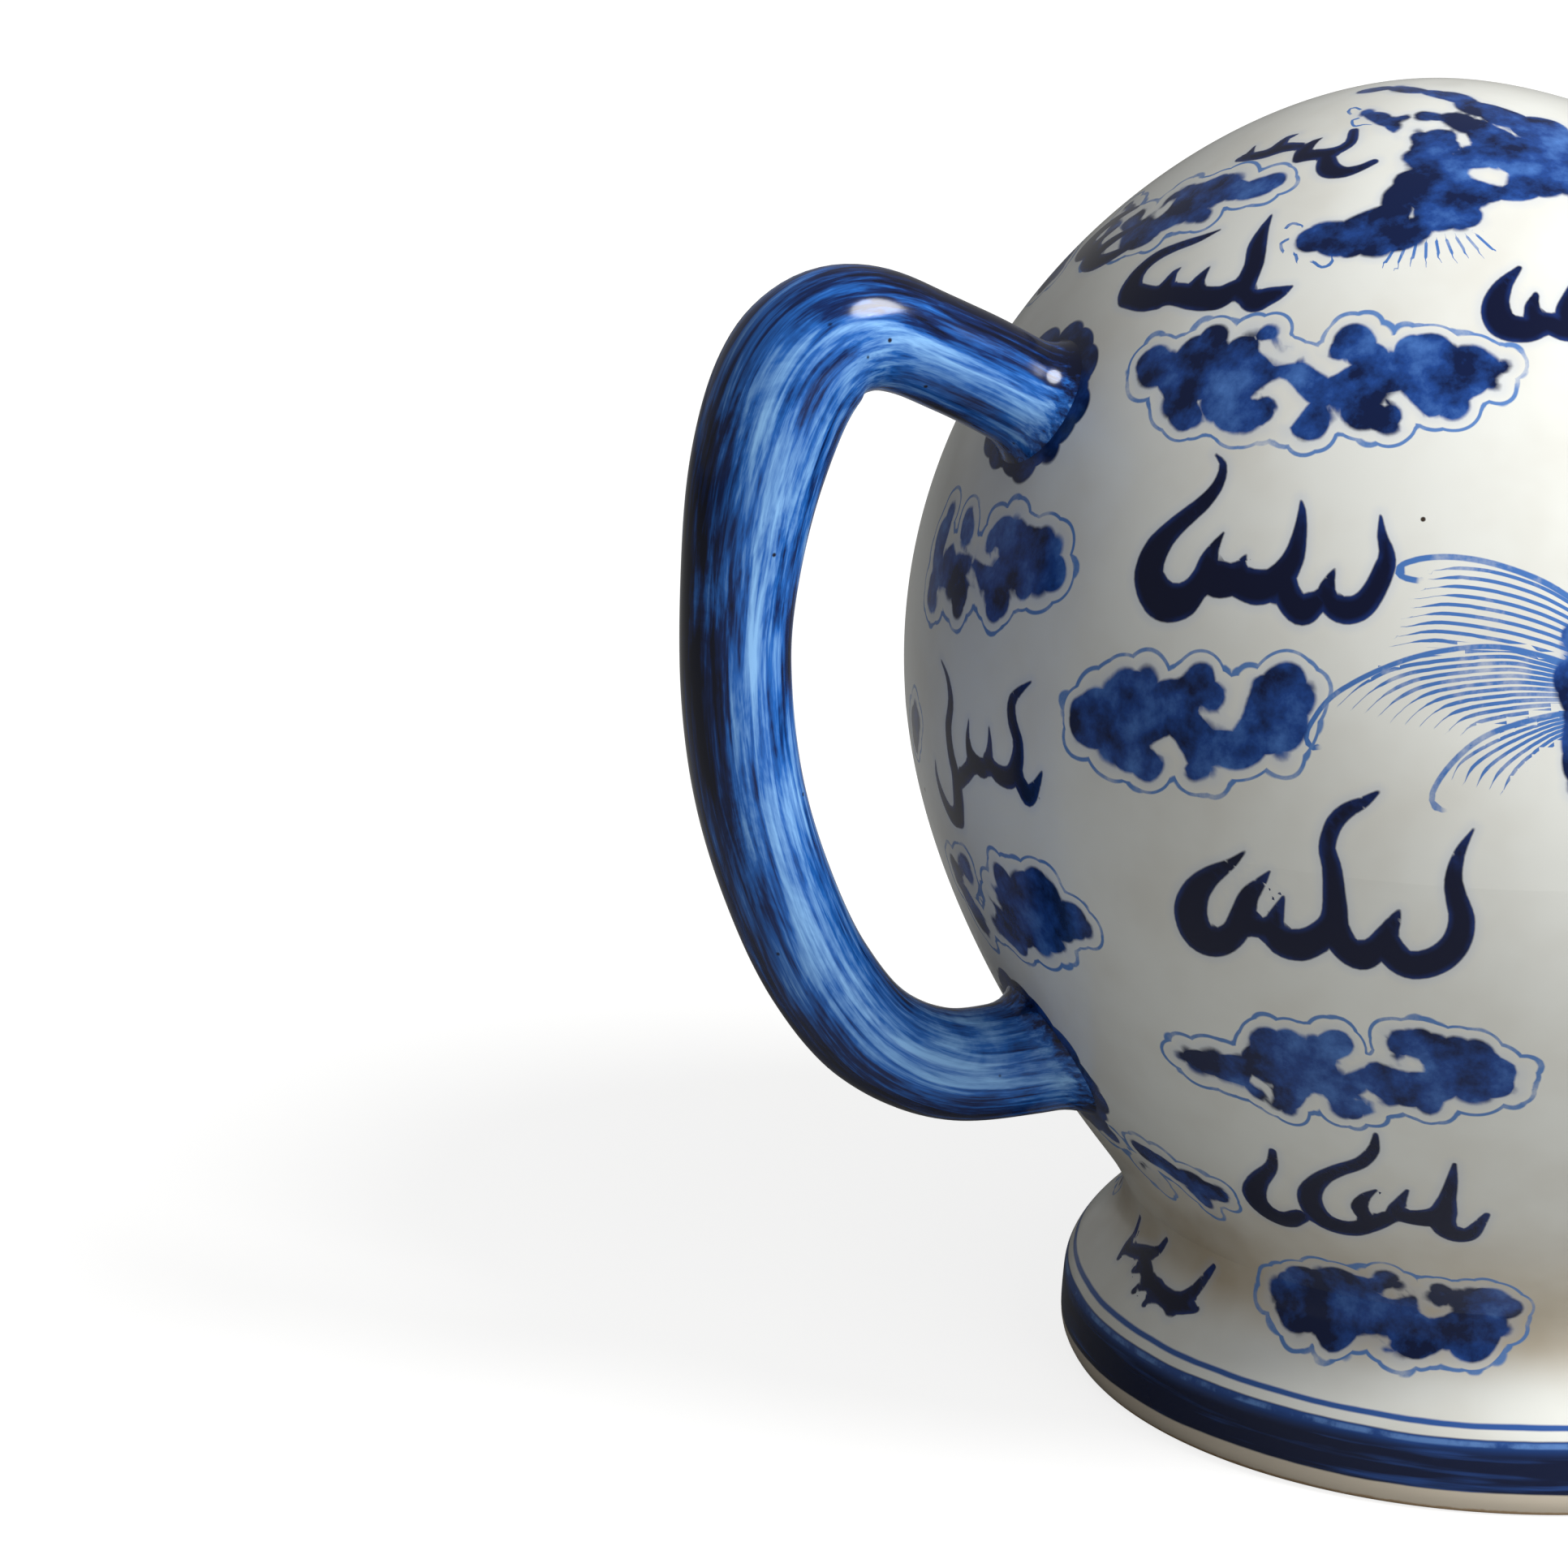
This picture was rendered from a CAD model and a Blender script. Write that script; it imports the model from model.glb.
import math
from functools import partial
import bpy
import numpy as np
from mathutils import Matrix, Vector


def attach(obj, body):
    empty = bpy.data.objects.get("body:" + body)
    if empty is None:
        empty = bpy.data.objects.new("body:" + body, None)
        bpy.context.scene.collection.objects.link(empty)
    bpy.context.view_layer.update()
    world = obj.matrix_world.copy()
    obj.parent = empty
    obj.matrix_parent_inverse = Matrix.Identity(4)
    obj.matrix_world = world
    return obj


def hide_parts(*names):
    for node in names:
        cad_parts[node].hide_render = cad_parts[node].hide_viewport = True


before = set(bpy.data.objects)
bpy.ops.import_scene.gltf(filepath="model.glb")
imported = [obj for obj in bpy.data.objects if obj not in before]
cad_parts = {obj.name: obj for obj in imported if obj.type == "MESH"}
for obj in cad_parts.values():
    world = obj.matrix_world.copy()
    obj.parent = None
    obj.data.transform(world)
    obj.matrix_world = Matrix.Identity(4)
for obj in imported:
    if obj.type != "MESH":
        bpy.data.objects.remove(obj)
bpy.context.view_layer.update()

mm = 0.001
touching = 0.02   # mm within which two points are one


def hexColour(text):
    # sRGB hex to the linear values that shaders take
    values = [int(text[i:i + 2], 16) / 255 for i in (1, 3, 5)]
    return [v / 12.92 if v <= 0.04045 else ((v + 0.055) / 1.055) ** 2.4 for v in values] + [1.0]


def addNode(material, kind, inputs=(), **settings):
    # one node; its inputs come by place or by name, each a value, a socket or a node
    node = material.node_tree.nodes.new("ShaderNode" + kind)
    for name, value in settings.items():
        setattr(node, name, value)
    for key, value in inputs.items() if isinstance(inputs, dict) else enumerate(inputs):
        if isinstance(value, bpy.types.Node):
            value = value.outputs[0]
        if isinstance(value, bpy.types.NodeSocket):
            material.node_tree.links.new(value, node.inputs[key])
        else:
            node.inputs[key].default_value = value
    return node


def newMaterial(name):
    material = bpy.data.materials.new(name)
    material.use_nodes = True
    return material, material.node_tree.nodes["Principled BSDF"]


# sizes of the thrown body in mm, as in the solids
body = {
    "height": 140, "bellyRadius": 63.8, "bellyHeight": 72.9, "neckRadius": 40.9, "neckHeight": 19.6,
    "pullUp": 38.3, "pullDown": 27.2, "crownPull": 24.6, "lean": 12.6, "wall": 4.5,
    "floorTop": 24.8, "holeRadius": 11,
    "columns": 136, "ringStep": 2.8,
}


def bezier(points, steps):
    # even steps of the parameter along a cubic
    out = []
    for i in range(steps + 1):
        t = i / steps
        a, b, c, d = (1 - t) ** 3, 3 * (1 - t) ** 2 * t, 3 * (1 - t) * t * t, t ** 3
        out.append(tuple(a * p + b * q + c * r + d * s for p, q, r, s in zip(*points)))
    return out


def evenly(points, step):
    # the same line in steps of one length
    points = np.array(points, float)
    along = np.concatenate(([0], np.cumsum(np.hypot(*np.diff(points, axis=0).T))))
    places = np.linspace(0, along[-1], max(2, round(along[-1] / step)) + 1)
    return [tuple(np.interp(s, along, points[:, k]) for k in (0, 1)) for s in places]


def heading(line):
    # the direction of a line at each of its points
    steps = np.gradient(line, axis=0)
    return steps / np.hypot(steps[:, 0], steps[:, 1])[:, None]


def leanAt(height):
    # how far the middle of the body stands over towards the handle
    rise = np.maximum(0, (height - body["neckHeight"]) / (body["height"] - body["neckHeight"]))
    return -body["lean"] * rise ** 2


# the spreading foot
foot = {
    "radius": 48.3, "soleRadius": 47.6, "lipHeight": 2.5, "wallTop": 6.6,
    "shoulderRadius": 45.6, "shoulderHeight": 10.7, "rimWidth": 5, "wall": 6.5, "neckBlend": 5,
}


def footOutline():
    # the outside of the foot, from the sole up to the neck
    neck, top, edge, sole = body["neckRadius"], body["neckHeight"], foot["radius"], foot["soleRadius"]
    out, up = foot["shoulderRadius"], foot["shoulderHeight"]
    corner = [(edge - 0.28, foot["wallTop"]), (edge - 0.3, foot["wallTop"] + 1.5),
              (out + 1, up - 0.9), (out, up)]
    flare = [(out, up), (out - 2.3, up + 2), (neck, top - 4), (neck, top)]
    rings = [(sole - 0.5, 0), (sole - 0.1, 0.12), (sole + 0.15, 0.5), (edge - 0.1, 1.4),
             (edge, foot["lipHeight"]), (edge - 0.08, 4), (edge - 0.2, 5.6)]
    return rings + evenly(bezier(corner, 40), 0.8) + evenly(bezier(flare, 60), 1)[1:]


def joinedLine(low, high, reach):
    # two lines, one over the other, run into each other in one hollow curve round their corner
    below = np.array([p for p in low if p[1] <= low[-1][1] - reach])
    above = np.array([p for p in high if p[1] >= high[0][1] + reach])
    start, end = below[-1] - below[-2], above[1] - above[0]
    pull = 0.4 * np.hypot(*(above[0] - below[-1]))
    start, end = start / np.hypot(*start) * pull, end / np.hypot(*end) * pull
    hollow = bezier([below[-1], below[-1] + start, above[0] - end, above[0]], 40)
    return [tuple(p) for p in below] + hollow[1:-1] + [tuple(p) for p in above]


belly = (body["bellyRadius"], body["bellyHeight"])
bowlLine = bezier([
    (body["neckRadius"], body["neckHeight"]), (body["neckRadius"], body["neckHeight"] + 0.1),
    (belly[0], belly[1] - body["pullDown"]), belly,
], 200)
domeLine = bezier([
    belly, (belly[0], belly[1] + body["pullUp"]), (body["crownPull"], body["height"]), (0, body["height"]),
], 200)
# the whole outside from sole to crown, with the neck sponged smooth where foot and bowl are luted
potLine = np.array(joinedLine(footOutline(), bowlLine, foot["neckBlend"]) + domeLine[1:])
neckRing = (float(np.interp(body["neckHeight"], potLine[:, 1], potLine[:, 0])), body["neckHeight"])
potUpright = np.abs(heading(potLine)[:, 1])


def potRadius(height):
    return np.interp(height, potLine[:, 1], potLine[:, 0], right=0)


def potPart(low, high):
    # the stretch of the outside between two heights, ends included
    inner = [tuple(p) for p in potLine if low < p[1] < high]
    return [(float(potRadius(low)), low)] + inner + [(float(potRadius(high)), high)]


def outsidePot(points):
    # how far points lie outside the pot, level with themselves, in mm
    return np.hypot(points[..., 0] - leanAt(points[..., 2]), points[..., 1]) - potRadius(points[..., 2])


def offPot(points):
    # the same, square to the wall
    return outsidePot(points) * np.interp(points[..., 2], potLine[:, 1], potUpright)


def namedPiece(name):
    piece = bpy.context.object
    piece.name = name
    piece.data.name = name
    return piece


def spinRings(name, rings, columns, smoothRounds, sharpRings=(), closed=True):
    # a circle extruded ring by ring, each (radius, height) in mm, and closed on its first ring,
    # or gathered into a point at both ends; then subdivided smooth
    bpy.ops.object.select_all(action="DESELECT")
    first = rings[0]
    bpy.ops.mesh.primitive_circle_add(vertices=columns, radius=first[0] * mm, location=(0, 0, 0))
    piece = namedPiece(name)
    bpy.ops.object.mode_set(mode="EDIT")
    bpy.ops.mesh.select_all(action="SELECT")
    bpy.ops.transform.translate(value=(leanAt(first[1]) * mm, 0, first[1] * mm))
    before = first
    for ring in rings[1:]:
        middle, share = leanAt(ring[1]), ring[0] / before[0]
        bpy.ops.mesh.extrude_region_move(TRANSFORM_OT_translate={"value": (
            (middle - leanAt(before[1])) * mm, 0, (ring[1] - before[1]) * mm)})
        bpy.ops.transform.resize(value=(share, share, 1), center_override=(middle * mm, 0, ring[1] * mm))
        before = ring
    if not closed:
        gatherRing()
        bpy.ops.object.mode_set(mode="OBJECT")
        for vertex in piece.data.vertices:
            vertex.select = vertex.index < columns
        bpy.ops.object.mode_set(mode="EDIT")
        gatherRing()
    bpy.ops.mesh.select_all(action="SELECT")
    bpy.ops.mesh.remove_doubles(threshold=touching * mm)
    bpy.ops.mesh.normals_make_consistent(inside=False)
    bpy.ops.object.mode_set(mode="OBJECT")
    if sharpRings:
        creases = piece.data.attributes.new("crease_edge", "FLOAT", "EDGE")
        for edge in piece.data.edges:
            ends = [piece.data.vertices[v].co / mm for v in edge.vertices]
            ends = [(math.hypot(p.x - leanAt(p.z), p.y), p.z) for p in ends]
            for radius, height in sharpRings:
                if all(abs(r - radius) < touching and abs(z - height) < touching for r, z in ends):
                    creases.data[edge.index].value = 1
    if smoothRounds:
        rounds = piece.modifiers.new("smooth rounds", "SUBSURF")
        rounds.levels = rounds.render_levels = smoothRounds
        bpy.ops.object.modifier_apply(modifier=rounds.name)
    bpy.ops.object.shade_smooth_by_angle(angle=math.radians(40))
    return piece


def gatherRing():
    # closes the selected ring on its own middle
    bpy.ops.mesh.extrude_region_move(TRANSFORM_OT_translate={"value": (0, 0, 0)})
    bpy.ops.mesh.merge(type="CENTER")


def inward(line, distance):
    # a line moved inwards by a wall, for the inside of the pot
    along = heading(line)
    return np.array(line) + distance * np.stack([-along[:, 1], along[:, 0]], -1)


def makeDome():
    outside = evenly(domeLine, body["ringStep"])[:-1]
    inside = evenly([tuple(p) for p in inward(domeLine, body["wall"])], 14)[:-1]
    inside[0] = (inside[0][0], body["bellyHeight"])
    rings = list(reversed(inside)) + outside
    return spinRings("painted_dome", rings, body["columns"], 2, (belly, inside[0]), closed=False)


def makeBowl():
    outside = evenly(potPart(body["neckHeight"], body["bellyHeight"]), body["ringStep"])
    inside = [tuple(p) for p in inward(bowlLine, body["wall"]) if p[1] > body["floorTop"] + 1]
    inside = evenly(list(reversed(inside)), 12)
    inside[0] = (inside[0][0], body["bellyHeight"])
    hole, neck = body["holeRadius"], body["neckHeight"]
    floorRadius = inside[-1][0] - 1.5
    rings = [(hole, neck), (hole + 1, neck), (26, neck)] + outside + inside + [
        (floorRadius, body["floorTop"]), (floorRadius - 3, body["floorTop"]),
        (hole + 1, body["floorTop"]), (hole, body["floorTop"]), (hole, neck),
    ]
    return spinRings("painted_bowl", rings, body["columns"], 2, (belly, inside[0], neckRing, (hole, neck)))


def makeFoot():
    f, top = foot, body["neckHeight"]
    soleInside, neckInside = f["soleRadius"] - f["rimWidth"], body["neckRadius"] - f["wall"]
    hollow = [(neckInside, top), (neckInside + 3.5, top - 9), (soleInside, 9), (soleInside, 0.6)]
    edge = [p for p in footOutline() if p[1] <= f["shoulderHeight"]]
    flare = evenly(potPart(f["shoulderHeight"], top), 1)[1:]
    sole = [(soleInside + 0.1, 0.12), (soleInside + 0.5, 0), (f["soleRadius"] - 0.5, 0)]
    rings = edge + flare + evenly(bezier(hollow, 40), 2.5) + sole
    return spinRings("painted_foot", rings, body["columns"], 1, (neckRing, (neckInside, top)))


print("body pieces")
dome = makeDome()
bowl = makeBowl()
footPiece = makeFoot()

# the tube that the pot is filled through
tube = {"bore": 11, "topBore": 7, "wall": 3, "top": 120, "flare": 3, "columns": 48}


def makeTube():
    base, bore, top, topBore = body["floorTop"], tube["bore"], tube["top"], tube["topBore"]
    outer, topOuter, flare = bore + tube["wall"], topBore + tube["wall"], tube["flare"]
    rings = [(bore, base), (outer + flare, base), (outer + flare * 0.3, base + flare),
             (outer, base + flare * 2), (topOuter, top - 1.2), (topOuter - 0.5, top - 0.2),
             (topOuter - 1.5, top), (topBore + 0.4, top - 0.2), (topBore, top - 0.9),
             (bore, base + flare * 2), (bore, base)]
    # the tube stands upright in the leaning body
    lean = body["lean"]
    body["lean"] = 0
    piece = spinRings("filling_tube_inside", rings, tube["columns"], 1)
    body["lean"] = lean
    return piece


tubePiece = makeTube()

# the handle: a rod bent to a loop, in shares of its depth and rise, and flared into the body
handle = {
    "reach": 95.5, "thickness": 11.2, "elbow": 14.4, "tail": 12.4, "top": 119, "bottom": 40.2,
    "elbowPlace": 0.33, "elbowReach": (0.085, 0.165), "tailPlace": 0.74, "tailReach": 0.12,
    "fillet": 4.2, "padSpread": 3.4, "sides": 56, "ringStep": 0.7,
    "bend": [
        (0.334, 0.683), (0.489, 0.792), (0.634, 0.888), (0.734, 0.952), (0.832, 1.000), (0.882, 0.999),
        (0.917, 0.975), (0.943, 0.934), (0.974, 0.835), (0.993, 0.714), (1.000, 0.581), (0.986, 0.424),
        (0.950, 0.282), (0.899, 0.155), (0.832, 0.058), (0.743, 0.005), (0.634, 0.000), (0.467, 0.019),
        (0.311, 0.048),
    ],
}
spout = {
    "rootRadius": 10.5, "tipRadius": 6.8, "evenShare": 0.26, "taper": 1.3, "wall": 2.4,
    "rootHeight": 38, "rootDepth": 20, "rootPull": 58, "tip": (90, 117),
    "tipPull": (19.5, 27), "fillet": 5, "padSpread": 3.6, "sides": 56, "ringStep": 0.8,
}
# how deep inside the body's surface a rod begins, and the curve of its fillet, in mm
rodSink, filletSink = 9, 1.2


def smoothLine(points, step):
    # a spline through points, walked in steps of one length
    points = np.array(points, float)
    along = np.concatenate(([0], np.cumsum(np.sqrt(np.hypot(*np.diff(points, axis=0).T)))))
    slopes = np.gradient(points, along, axis=0)
    fine = []
    for i in range(len(points) - 1):
        h = along[i + 1] - along[i]
        for t in np.linspace(0, 1, 40, endpoint=False):
            fine.append((2 * t ** 3 - 3 * t ** 2 + 1) * points[i] + (t ** 3 - 2 * t ** 2 + t) * h * slopes[i]
                        + (3 * t ** 2 - 2 * t ** 3) * points[i + 1] + (t ** 3 - t ** 2) * h * slopes[i + 1])
    fine.append(points[-1])
    fine = np.array(fine)
    length = np.concatenate(([0], np.cumsum(np.hypot(*np.diff(fine, axis=0).T))))
    places = np.linspace(0, length[-1], round(length[-1] / step))
    return np.stack([np.interp(places, length, fine[:, k]) for k in (0, 1)], -1)


def upright(line):
    # a line of (x, z) as places in the plane through handle and spout
    return np.stack([line[:, 0], 0 * line[:, 0], line[:, 1]], -1)


def easing(share):
    held = np.clip(share, 0, 1)
    return held * held * (3 - 2 * held)


def rodMesh(name, line, along, radii, sides, capEnds=True):
    # a circle extruded along a line in the xz plane, then each ring set square to the line's heading
    bpy.ops.object.select_all(action="DESELECT")
    bpy.ops.mesh.primitive_circle_add(vertices=sides, radius=radii[0] * mm, location=(0, 0, 0))
    piece = namedPiece(name)
    bpy.ops.object.mode_set(mode="EDIT")
    bpy.ops.mesh.select_all(action="SELECT")
    if capEnds:
        bpy.ops.mesh.edge_face_add()
    for _ in line[1:]:
        bpy.ops.mesh.extrude_region_move(TRANSFORM_OT_translate={"value": (0, 0, mm)})
    bpy.ops.object.mode_set(mode="OBJECT")
    # the rings lie one above the other, a millimetre apart: each goes to its place on the line
    co = vertexPlaces(piece)
    ring = np.round(co[:, 2]).astype(int)
    angle = np.arctan2(co[:, 1], co[:, 0])
    across, side = np.stack([-along[ring, 1], 0 * angle, along[ring, 0]], -1), np.array([0, 1.0, 0])
    direction = np.cos(angle)[:, None] * across + np.sin(angle)[:, None] * side
    return piece, ring, angle, upright(line[ring]), direction


def vertexPlaces(piece):
    co = np.empty(len(piece.data.vertices) * 3)
    piece.data.vertices.foreach_get("co", co)
    return co.reshape(-1, 3) / mm


def setPlaces(piece, co):
    piece.data.vertices.foreach_set("co", (co * mm).ravel())
    piece.data.update()


def filletRadius(base, fillet, centre, direction):
    # the rod's own radius, spreading into a round fillet where its surface nears the body
    inner, outer = base.copy(), base + fillet
    for _ in range(16):
        middle = (inner + outer) / 2
        away = np.clip(offPot(centre + direction * middle[:, None]) + filletSink, 0, fillet)
        wanted = base + fillet - np.sqrt(np.maximum(0, fillet ** 2 - (fillet - away) ** 2))
        grows = wanted > middle
        inner = np.where(grows, middle, inner)
        outer = np.where(grows, outer, middle)
    return inner


def keep(piece, name, values):
    # one value, or a row of three, for each vertex, for the material to read
    kind = "FLOAT" if values.ndim == 1 else "FLOAT_VECTOR"
    layer = piece.data.attributes.new(name, kind, "POINT")
    layer.data.foreach_set("value" if values.ndim == 1 else "vector", values.astype(np.float32).ravel())


def keepRodPlace(piece, along, base, radius, angle, turn):
    # where a vertex would lie if the rod were straight, in mm, for the brush marks; which side it
    # is on, from -1 outside to 1 towards the body; and how far the root has spread there
    keep(piece, "rodPlace", np.stack([along, np.cos(angle) * radius, np.sin(angle) * radius], -1))
    keep(piece, "side", np.cos(angle) + turn)
    keep(piece, "flare", radius - base)


def closeUp(piece):
    bpy.ops.object.select_all(action="DESELECT")
    piece.select_set(True)
    bpy.context.view_layer.objects.active = piece
    bpy.ops.object.mode_set(mode="EDIT")
    bpy.ops.mesh.select_all(action="SELECT")
    bpy.ops.mesh.remove_doubles(threshold=0.01 * mm)
    bpy.ops.mesh.normals_make_consistent(inside=False)
    bpy.ops.object.mode_set(mode="OBJECT")
    bpy.ops.object.shade_smooth()


def handleRod():
    # the middle of the rod and its thickness, from a little inside the wall to the same below
    h = handle
    back, rise = h["reach"] - h["thickness"] / 2, h["top"] - h["bottom"]
    line = smoothLine([(-out * back, h["bottom"] + up * rise) for out, up in h["bend"]], h["ringStep"])
    place = np.linspace(0, 1, len(line))
    fromElbow = place - h["elbowPlace"]
    elbow = easing(1 - np.abs(fromElbow) / np.where(fromElbow < 0, *h["elbowReach"]))
    tail = easing((place - h["tailPlace"]) / h["tailReach"])
    thickness = h["thickness"] + (h["elbow"] - h["thickness"]) * elbow + (h["tail"] - h["thickness"]) * tail
    out = np.where(outsidePot(upright(line)) > -rodSink)[0]
    return line[out[0]:out[-1] + 1], thickness[out[0]:out[-1] + 1]


def makeHandle():
    h = handle
    line, thickness = handleRod()
    mesh = rodMesh("cobalt_handle", line, heading(line), thickness / 2, h["sides"])
    piece, ring, angle, centre, direction = mesh
    radius = filletRadius(thickness[ring] / 2, h["fillet"], centre, direction)
    setPlaces(piece, centre + direction * radius[:, None])
    # the wash is rubbed thin on the outside too where the elbow is thickest
    rubbed = 0.45 * (thickness[ring] - h["thickness"]) / (h["elbow"] - h["thickness"])
    keepRodPlace(piece, ring * h["ringStep"], thickness[ring] / 2, radius, angle, rubbed)
    closeUp(piece)
    return piece


print("handle and spout")
handlePiece = makeHandle()


def spoutRod():
    # the middle of the spout and its outer radius, from a little inside the wall to the lip
    s = spout
    start = float(potRadius(s["rootHeight"])) - s["rootDepth"]
    fine = bezier([(start, s["rootHeight"]), (start + s["rootPull"], s["rootHeight"]),
                   (s["tip"][0] - s["tipPull"][0], s["tip"][1] - s["tipPull"][1]), s["tip"]], 300)
    line = np.array(evenly(fine, s["ringStep"]))
    line = line[np.where(outsidePot(upright(line)) > -rodSink)[0][0]:]
    place = np.linspace(0, 1, len(line))
    left = 1 - np.clip((place - s["evenShare"]) / (1 - s["evenShare"]), 0, 1)
    return line, s["tipRadius"] + (s["rootRadius"] - s["tipRadius"]) * left ** s["taper"]


def makeSpout():
    s = spout
    line, outer = spoutRod()
    along = heading(line)
    # out along the outside, round the lip and back down the bore by every third ring
    lip = np.array([-0.5, -0.16, 0.0, -0.16, -0.5])
    lipRadius = s["tipRadius"] - s["wall"] * np.array([0.02, 0.2, 0.5, 0.8, 0.98])
    whole = np.concatenate([line[:-1], [line[-1] + along[-1] * d for d in lip], line[:-1][::-3]])
    along = np.concatenate([along[:-1], np.repeat(along[-1:], len(lip), 0), along[:-1][::-3]])
    radii = np.concatenate([outer[:-1], lipRadius, outer[:-1][::-3] - s["wall"]])
    piece, ring, angle, centre, direction = rodMesh("cobalt_spout", whole, along, radii, s["sides"], False)
    radius = radii[ring]
    radius = np.where(ring < len(line) - 1, filletRadius(radius, s["fillet"], centre, direction), radius)
    setPlaces(piece, centre + direction * radius[:, None])
    keepRodPlace(piece, ring * s["ringStep"], radii[ring], radius, angle, 0)
    bpy.ops.object.mode_set(mode="EDIT")
    # join the two open rings inside the body
    bpy.ops.mesh.select_all(action="DESELECT")
    bpy.ops.mesh.select_mode(type="EDGE")
    bpy.ops.mesh.select_non_manifold()
    bpy.ops.mesh.bridge_edge_loops()
    bpy.ops.object.mode_set(mode="OBJECT")
    closeUp(piece)
    return piece


spoutPiece = makeSpout()

# where the camera stands round the pot, in degrees and mm, and where it looks: past the pot, which
# the photograph has at its right
camera = {
    "azimuth": -29.76, "elevation": 15.97, "distance": 544.2, "targetHeight": 73.4,
    "aimAzimuth": -21.07, "aimElevation": 17.14, "focalPixels": 6211.7, "imageSize": 1932,
}


def backwards(azimuth, elevation):
    a, e = math.radians(azimuth), math.radians(elevation)
    return Vector((math.sin(a) * math.cos(e), -math.cos(a) * math.cos(e), math.sin(e)))


def cameraAxes():
    # the camera's right, up and back directions, and its place in mm
    c = camera
    place = Vector((0, 0, c["targetHeight"])) + backwards(c["azimuth"], c["elevation"]) * c["distance"]
    back = backwards(c["aimAzimuth"], c["aimElevation"])
    right = (-back).cross(Vector((0, 0, 1))).normalized()
    return right, right.cross(-back), back, place


def ontoPot(pixels):
    # where the lines of sight through pixels of the photograph's frame meet the pot, in mm
    right, up, back, place = (np.array(v) for v in cameraAxes())
    across, down = ((pixels - camera["imageSize"] / 2) / camera["focalPixels"]).T
    sight = -back + across[:, None] * right - down[:, None] * up
    depth = np.arange(-100, 100, 0.5) + camera["distance"]
    points = place + depth[None, :, None] * sight[:, None, :]
    out = outsidePot(points)
    first = np.where((out < 0).any(1), (out < 0).argmax(1), out.argmin(1))
    rows = np.arange(len(pixels))
    before = np.maximum(first - 1, 0)
    drop = out[rows, before] - out[rows, first]
    share = np.clip(out[rows, before] / np.where(np.abs(drop) < 1e-9, 1, drop), 0, 1)
    share = np.where(out[rows, first] < 0, share, 1)
    return points[rows, before] + share[:, None] * (points[rows, first] - points[rows, before])


def smoothStroke(points, steps=5):
    # a curve through the points of a stroke; every column follows along
    points = np.array(points, float)
    if len(points) < 3:
        return np.array([points[0] + (points[-1] - points[0]) * i / steps for i in range(steps + 1)])
    ends = np.concatenate([[2 * points[0] - points[1]], points, [2 * points[-1] - points[-2]]])
    out = []
    for a, b, c, d in zip(ends, ends[1:], ends[2:], ends[3:]):
        for t in np.linspace(0, 1, steps, endpoint=False):
            out.append(0.5 * (2 * b + (c - a) * t + (2 * a - 5 * b + 4 * c - d) * t ** 2
                              + (3 * b - a - 3 * c + d) * t ** 3))
    out.append(points[-1])
    return np.array(out)


def onPot(stroke, least=0.4):
    # a stroke in pixels becomes one in mm on the pot: x, y, z, half width
    fine = smoothStroke(stroke)
    return np.concatenate([ontoPot(fine[:, :2]), np.maximum(fine[:, 2:], least)], 1)


def turnedStroke(stroke, degrees):
    # the same stroke further round the pot
    turn, lean = math.radians(degrees), leanAt(stroke[:, 2])
    x, y = stroke[:, 0] - lean, stroke[:, 1]
    out = stroke.copy()
    out[:, 0] = x * math.cos(turn) - y * math.sin(turn) + lean
    out[:, 1] = x * math.sin(turn) + y * math.cos(turn)
    return out


def nearest(points, stroke):
    # the distance to the edge of a tapering stroke, and the way to its middle with the half width
    best, middle = np.full(len(points), 1e3), np.zeros((len(points), 4))
    for a, b in zip(stroke, stroke[1:]):
        step = b[:3] - a[:3]
        share = np.clip((points - a[:3]) @ step / max(step @ step, 1e-9), 0, 1)[:, None]
        there = a + share * (b - a) - np.append(points, np.zeros((len(points), 1)), 1)
        edge = np.linalg.norm(there[:, :3], axis=1) - there[:, 3]
        closer = edge < best
        best[closer], middle[closer] = edge[closer], there[closer]
    return best, middle


def brush(points, field, strokes, reach=3.5, middles=None):
    # lowers a field of distances to those of new strokes
    for stroke in strokes:
        centre = stroke[:, :3].mean(0)
        size = np.linalg.norm(stroke[:, :3] - centre, axis=1).max() + stroke[:, 3].max() + reach
        near = np.where(np.abs(points - centre).max(1) < size)[0]
        if len(near):
            edge, middle = nearest(points[near], stroke)
            closer = edge < field[near]
            field[near[closer]] = edge[closer]
            if middles is not None:
                middles[near[closer]] = middle[closer]


def sideOf(points, line):
    # signed distance to a line on the pot, and the share of its length that lies behind
    best, side, along = np.full(len(points), 1e3), np.zeros(len(points)), np.zeros(len(points))
    lengths = np.concatenate([[0], np.cumsum(np.linalg.norm(np.diff(line[:, :3], axis=0), axis=1))])
    for i, (a, b) in enumerate(zip(line[:, :3], line[1:, :3])):
        step = b - a
        share = np.clip((points - a) @ step / max(step @ step, 1e-9), 0, 1)
        off = points - a - share[:, None] * step
        away = np.linalg.norm(off, axis=1)
        outwards = np.array([a[0] - leanAt(a[2]), a[1], 0.3 * math.hypot(a[0], a[1])])
        closer = away < best
        best = np.where(closer, away, best)
        side = np.where(closer, np.sign(off @ np.cross(step, outwards)), side)
        along = np.where(closer, (lengths[i] + share * (lengths[i + 1] - lengths[i])) / lengths[-1], along)
    return best * side, along


def nearLines(points, lines, reach=2):
    # which points lie in the ball round some lines
    every = np.concatenate(lines)[:, :3]
    middle = every.mean(0)
    size = np.linalg.norm(every - middle, axis=1).max() + reach
    return np.where(np.linalg.norm(points - middle, axis=1) < size)[0]


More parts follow.
